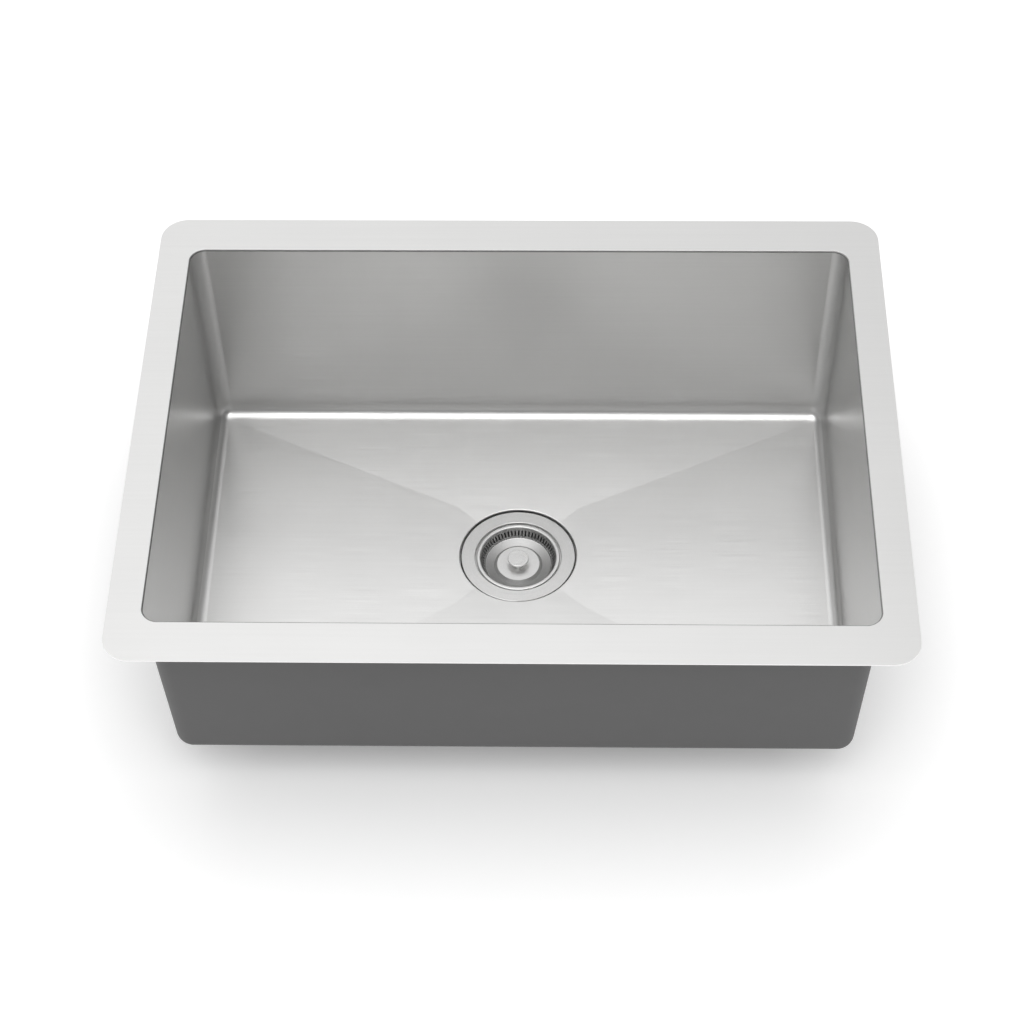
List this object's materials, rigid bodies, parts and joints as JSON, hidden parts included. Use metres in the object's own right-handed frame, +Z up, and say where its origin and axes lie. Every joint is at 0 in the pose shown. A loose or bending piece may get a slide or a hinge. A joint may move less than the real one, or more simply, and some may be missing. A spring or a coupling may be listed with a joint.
{
  "type": "undermount kitchen sink",
  "caption": "Single-bowl undermount kitchen sink in brushed stainless steel with a flat rim, a creased sloping floor and a lift-out basket strainer with a sliding stopper.",
  "frame": {"origin": "centre of the rim in its top face, which is pressed up against the underside of the worktop", "axes": "+X to the right along the long side, +Y to the back of the worktop, +Z up"},
  "size_m": [0.68, 0.52, 0.298],
  "materials": {
    "satin_steel": "satin brushed stainless steel",
    "grey_coat": "matt sprayed coat",
    "pad_rubber": "matt rubber",
    "seal_rubber": "smooth rubber",
    "strainer_steel": "brushed stainless steel",
    "spigot_metal": "plated",
    "fibre": "pressed fibre",
    "nut_metal": "die cast",
    "washer_plastic": "moulded",
    "basket_steel": "polished and brushed stainless steel",
    "turned_steel": "turned stainless steel"
  },
  "bodies": {
    "sink": {"bowl": "satin_steel", "undercoating": "grey_coat", "sound_pad_left": "pad_rubber", "sound_pad_right": "pad_rubber", "flange_seal": "seal_rubber", "strainer_bowl": "strainer_steel", "outlet_spigot": "spigot_metal", "under_gasket": "seal_rubber", "friction_washer": "fibre", "locknut": "nut_metal", "tail_washer": "washer_plastic", "coupling_nut": "spigot_metal"},
    "basket": {"basket": "basket_steel", "guide_bush": "turned_steel", "grip_ring": "seal_rubber"},
    "stopper": {"stopper_post": "turned_steel", "knob": "turned_steel", "stopper_seal": "seal_rubber", "backing_washer": "strainer_steel", "post_nut": "turned_steel"}
  },
  "joints": [
    {"name": "basket_lift", "type": "slide", "parent": "sink", "child": "basket", "axis": [0, 0, 1], "range_m": [0, 0.3]},
    {"name": "stopper_lift", "type": "slide", "parent": "basket", "child": "stopper", "axis": [0, 0, 1], "range_m": [0, 0.007]}
  ]
}
